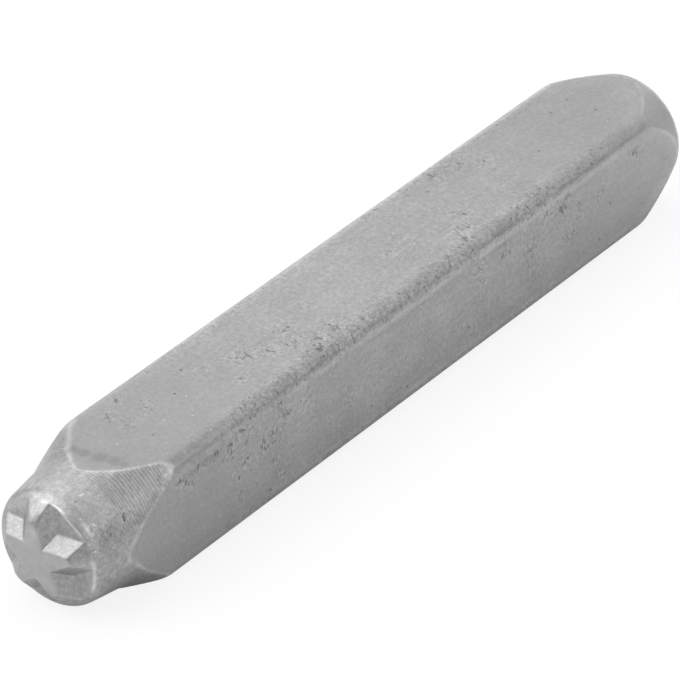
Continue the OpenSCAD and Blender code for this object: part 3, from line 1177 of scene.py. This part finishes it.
def pale_floor(stage):
    """Matt pale floor, lifted towards plain white for the camera and a little in reflections."""
    material, nodes = new_material("pale_floor")
    ray = nodes.add("ShaderNodeLightPath", "Ray").outputs
    bounced = nodes.math("ADD", "Mirrored", ray["Is Glossy Ray"], ray["Is Transmission Ray"])
    faint = nodes.product("Mirrored lift", bounced, stage.mirrored_lift)
    share = nodes.math("MULTIPLY_ADD", "Lift", ray["Is Camera Ray"], stage.lift, faint)
    matt = nodes.add("ShaderNodeBsdfDiffuse", "Matt", Color=(*stage.floor, 1))
    white = nodes.add("ShaderNodeEmission", "White", Color=(1, 1, 1, 1), Strength=1.0)
    mix = nodes.add("ShaderNodeMixShader", "Lifted floor")
    nodes.fill_all(mix.inputs, (share, matt.outputs[0], white.outputs[0]))
    nodes.add("ShaderNodeOutputMaterial", "Surface", Surface=mix.outputs[0])
    return material


def link_object(name, data):
    """A new object at the origin, in the scene."""
    item = bpy.data.objects.new(name, data)
    bpy.context.scene.collection.objects.link(item)
    return item


def link_mesh(name, bm, material):
    """A new mesh object from a finished bmesh, which is freed."""
    mesh = bpy.data.meshes.new(name)
    bm.to_mesh(mesh)
    bm.free()
    mesh.materials.append(material)
    return link_object(name, mesh)


def camera_axes(stage):
    """The camera's right, up and back directions."""
    level = math.cos(stage.elevation)
    back = Vector((
        math.sin(stage.azimuth) * level,
        -math.cos(stage.azimuth) * level,
        math.sin(stage.elevation),
    ))
    right = Vector((0, 0, 1)).cross(back).normalized()
    up = back.cross(right)
    turn = Matrix.Rotation(stage.roll, 3, back)
    return turn @ right, turn @ up, back


def add_camera(stage):
    """Camera at the picture's viewing angle."""
    right, up, back = camera_axes(stage)
    aim = Vector((stage.aim[0], 0, AXIS_Z)) + right * stage.aim[1] + up * stage.aim[2]
    data = bpy.data.cameras.new("camera")
    data.lens = stage.lens
    data.sensor_width = SENSOR_WIDTH
    data.clip_start = CLIP_START
    data.clip_end = CLIP_END
    camera = link_object("camera", data)
    turn = Matrix((right, up, back)).transposed().to_4x4()
    camera.matrix_world = Matrix.Translation(aim + back * stage.distance) @ turn
    bpy.context.scene.camera = camera


def add_soft_light(name, azimuth, elevation, power):
    """A square soft light that faces the punch."""
    turn = math.radians(azimuth)
    rise = math.radians(elevation)
    toward = Vector((
        math.cos(rise) * math.cos(turn),
        math.cos(rise) * math.sin(turn),
        math.sin(rise),
    ))
    data = bpy.data.lights.new(name, "AREA")
    data.energy = power
    data.size = LIGHT_SIZE
    light = link_object(name, data)
    light.location = toward * LIGHT_DISTANCE
    light.rotation_mode = "QUATERNION"
    light.rotation_quaternion = (-toward).to_track_quat("-Z", "Y")


def add_floor(stage):
    """A wide plain floor under the punch."""
    bm = bmesh.new()
    bmesh.ops.create_circle(bm, cap_ends=True, segments=FLOOR_SIDES, radius=FLOOR_RADIUS)
    floor = link_mesh("floor", bm, pale_floor(stage))


def add_room(stage):
    """Even room light from all round."""
    world = bpy.data.worlds.new("room")
    world.use_nodes = True
    background = world.node_tree.nodes["Background"]
    background.inputs["Color"].default_value = (1, 1, 1, 1)
    background.inputs["Strength"].default_value = stage.sky
    bpy.context.scene.world = world


class STARPUNCH_OT_stage(bpy.types.Operator):
    """Make the camera, the floor and the soft lights"""

    bl_idname = "starpunch.stage"
    bl_label = "Make Stage"

    def execute(self, context):
        stage = context.scene.star_punch_stage
        context.scene.view_settings.view_transform = "Standard"
        add_camera(stage)
        add_floor(stage)
        add_room(stage)
        for light in SOFT_LIGHTS:
            add_soft_light(*light)
        return {"FINISHED"}


class STARPUNCH_OT_body(bpy.types.Operator):
    """Make the punch: star, nose, shank and struck end in one piece of steel"""

    bl_idname = "starpunch.body"
    bl_label = "Make Punch"

    def execute(self, context):
        shape = context.scene.star_punch_shape
        finish = context.scene.star_punch_finish
        turning = Turning(shape)
        bm = bmesh.new()
        for name in MARKS:
            bm.verts.layers.float.new(name)
        turn_blank(bm, turning, shape)
        if not all(edge.is_manifold for edge in bm.edges):
            raise RuntimeError("The turned blank isn't closed")
        grind_flats(bm, turning, shape)
        cut_star(bm, StarFace(shape, turning), turning)
        bmesh.ops.recalc_face_normals(bm, faces=bm.faces)
        bm.normal_update()
        pit_steel(bm, finish.pit_depth, turning)
        piece = link_mesh("punch_body", bm, tumbled_steel(finish, shape.corner_radius))
        piece.data.shade_smooth()
        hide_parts(NODE)
        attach(piece, BODY)
        return {"FINISHED"}


class STARPUNCH_PT_panel(bpy.types.Panel):
    """Star punch settings and steps"""

    bl_idname = "STARPUNCH_PT_panel"
    bl_label = "Star Punch"
    bl_space_type = "VIEW_3D"
    bl_region_type = "UI"
    bl_category = "Star Punch"

    def draw(self, context):
        for group, operator in (
            (context.scene.star_punch_stage, STARPUNCH_OT_stage.bl_idname),
            (context.scene.star_punch_shape, STARPUNCH_OT_body.bl_idname),
            (context.scene.star_punch_finish, STARPUNCH_OT_body.bl_idname),
        ):
            box = self.layout.box()
            for key in group.__annotations__:
                box.prop(group, key)
            box.operator(operator)


CLASSES = (
    PunchShape,
    SteelFinish,
    StudioStage,
    STARPUNCH_OT_stage,
    STARPUNCH_OT_body,
    STARPUNCH_PT_panel,
)


def register():
    """Registers the classes and the scene's settings."""
    for item in CLASSES:
        bpy.utils.register_class(item)
    bpy.types.Scene.star_punch_shape = PointerProperty(type=PunchShape)
    bpy.types.Scene.star_punch_finish = PointerProperty(type=SteelFinish)
    bpy.types.Scene.star_punch_stage = PointerProperty(type=StudioStage)


def unregister():
    """Removes the settings and the classes."""
    del bpy.types.Scene.star_punch_stage
    del bpy.types.Scene.star_punch_finish
    del bpy.types.Scene.star_punch_shape
    for item in reversed(CLASSES):
        bpy.utils.unregister_class(item)


def main():
    """Builds the stage and the punch."""
    register()
    bpy.ops.starpunch.stage()
    bpy.ops.starpunch.body()


if __name__ == "__main__":
    main()
